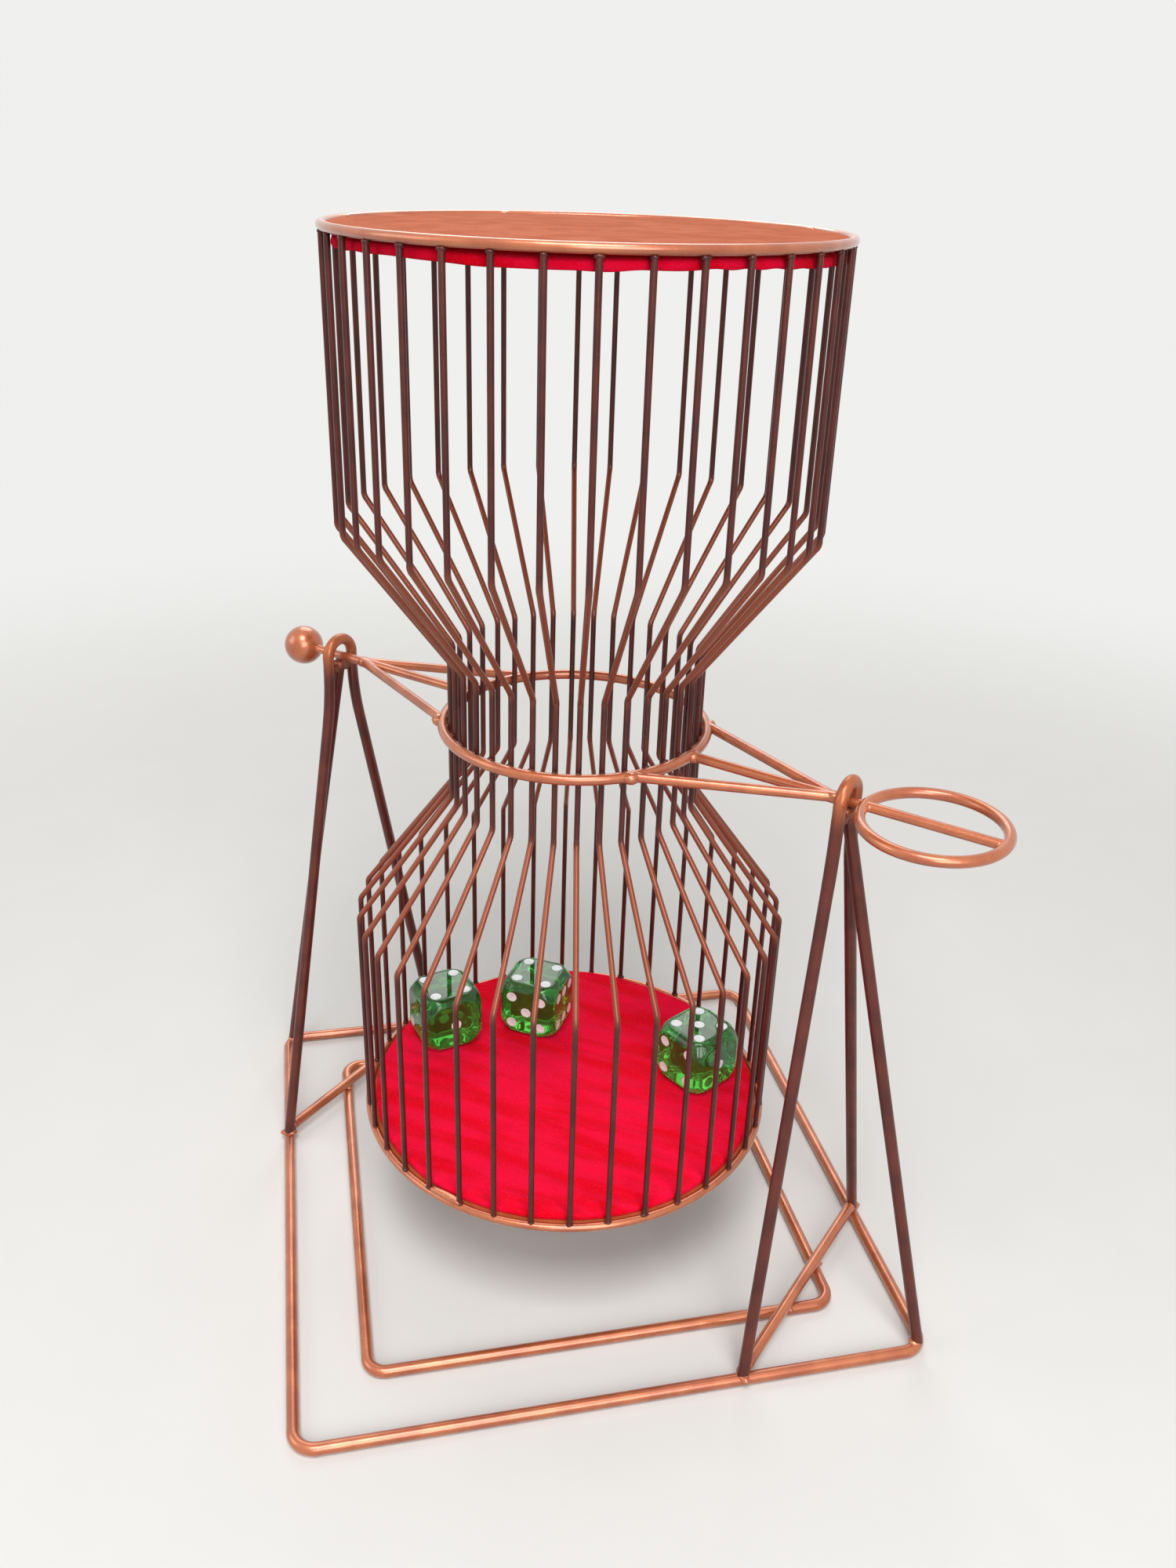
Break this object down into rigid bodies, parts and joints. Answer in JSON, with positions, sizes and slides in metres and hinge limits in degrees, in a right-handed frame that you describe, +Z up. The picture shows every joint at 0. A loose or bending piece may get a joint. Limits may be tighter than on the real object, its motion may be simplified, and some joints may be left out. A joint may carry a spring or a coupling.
{
  "type": "chuck-a-luck cage",
  "caption": "Hourglass dice cage of bent wire on a welded wire stand, turned end over end by a ring handle, with felt-lined ends and dice inside.",
  "frame": {"origin": "middle of the square base, on the table", "axes": "+X along the axle towards the ring handle, +Z up, the base square's corners on X and Y"},
  "size_m": [0.2416, 0.2416, 0.2836],
  "materials": {
    "copper_paint": "satin metallic copper paint",
    "felt": "wool felt",
    "die": "clear green cast plastic, polished"
  },
  "bodies": {
    "stand": {"base_outer_frame": "copper_paint", "base_inner_frame": "copper_paint", "ball_side_brace": "copper_paint", "handle_side_brace": "copper_paint", "ball_side_bail": "copper_paint", "handle_side_bail": "copper_paint", "ball_side_corner_leg": "copper_paint", "handle_side_corner_leg": "copper_paint"},
    "cage": {"top_rim_ring": "copper_paint", "bottom_rim_ring": "copper_paint", "waist_ring": "copper_paint", "top_end_plate": "copper_paint", "bottom_end_plate": "copper_paint", "top_felt": "felt", "bottom_felt": "felt", "ball_side_axle": "copper_paint", "handle_side_axle": "copper_paint", "ball_side_struts": "copper_paint", "handle_side_struts": "copper_paint", "ball_knob": "copper_paint", "handle_ring": "copper_paint", "cage_wire_01": "copper_paint", "cage_wire_02": "copper_paint", "cage_wire_03": "copper_paint", "cage_wire_04": "copper_paint", "cage_wire_05": "copper_paint", "cage_wire_06": "copper_paint", "cage_wire_07": "copper_paint", "cage_wire_08": "copper_paint", "cage_wire_09": "copper_paint", "cage_wire_10": "copper_paint", "cage_wire_11": "copper_paint", "cage_wire_12": "copper_paint", "cage_wire_13": "copper_paint", "cage_wire_14": "copper_paint", "cage_wire_15": "copper_paint", "cage_wire_16": "copper_paint", "cage_wire_17": "copper_paint", "cage_wire_18": "copper_paint", "cage_wire_19": "copper_paint", "cage_wire_20": "copper_paint", "cage_wire_21": "copper_paint", "cage_wire_22": "copper_paint", "cage_wire_23": "copper_paint", "cage_wire_24": "copper_paint", "cage_wire_25": "copper_paint", "cage_wire_26": "copper_paint", "cage_wire_27": "copper_paint", "cage_wire_28": "copper_paint", "cage_wire_29": "copper_paint", "cage_wire_30": "copper_paint", "cage_wire_31": "copper_paint", "cage_wire_32": "copper_paint", "cage_wire_33": "copper_paint", "cage_wire_34": "copper_paint", "cage_wire_35": "copper_paint", "cage_wire_36": "copper_paint"},
    "left_die": {"left_die": "die"},
    "back_die": {"back_die": "die"},
    "right_die": {"right_die": "die"}
  },
  "joints": [
    {"name": "cage_spin", "type": "hinge", "parent": "stand", "child": "cage", "pos_m": [0, 0, 0.16], "axis": [1, 0, 0], "continuous": true},
    {"name": "left_die_tumble", "type": "slide", "parent": "cage", "child": "left_die", "axis": [0.2724, -0.0445, 0.9612], "range_m": [0, 0.2292]},
    {"name": "back_die_tumble", "type": "slide", "parent": "cage", "child": "back_die", "axis": [0.2002, -0.0263, 0.9794], "range_m": [0, 0.2249]},
    {"name": "right_die_tumble", "type": "slide", "parent": "cage", "child": "right_die", "axis": [-0.1582, -0.268, 0.9503], "range_m": [0, 0.2318]}
  ]
}
